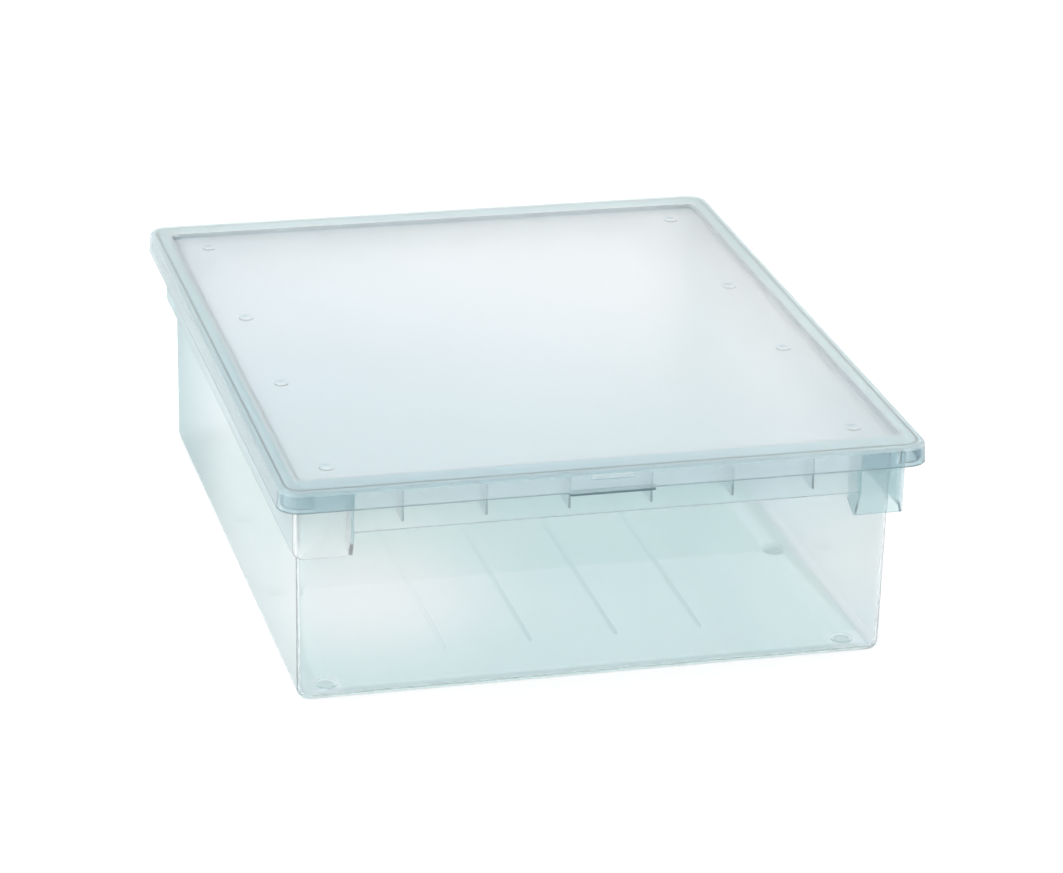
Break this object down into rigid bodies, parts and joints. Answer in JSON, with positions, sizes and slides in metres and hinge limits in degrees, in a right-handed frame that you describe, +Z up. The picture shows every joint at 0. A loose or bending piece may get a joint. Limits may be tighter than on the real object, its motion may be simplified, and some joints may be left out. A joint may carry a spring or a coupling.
{
  "type": "storage box with lift-off lid",
  "caption": "Shallow rectangular translucent plastic storage box with a flat lift-off lid, a deep rim apron around the sides and shallow finger grips front and back.",
  "frame": {"origin": "centre of the base, on the surface the box stands on", "axes": "+X across the front to the right, +Y from the front to the back, +Z up"},
  "size_m": [0.4, 0.4852, 0.1471],
  "materials": {
    "tub_plastic": "satin, milky translucent",
    "lid_plastic": "satin, milky translucent"
  },
  "bodies": {
    "tub": {"tub": "tub_plastic"},
    "lid": {"lid": "lid_plastic"}
  },
  "joints": [
    {"name": "lid_lift", "type": "slide", "parent": "tub", "child": "lid", "axis": [0, 0, 1], "range_m": [0, 0.2]}
  ]
}
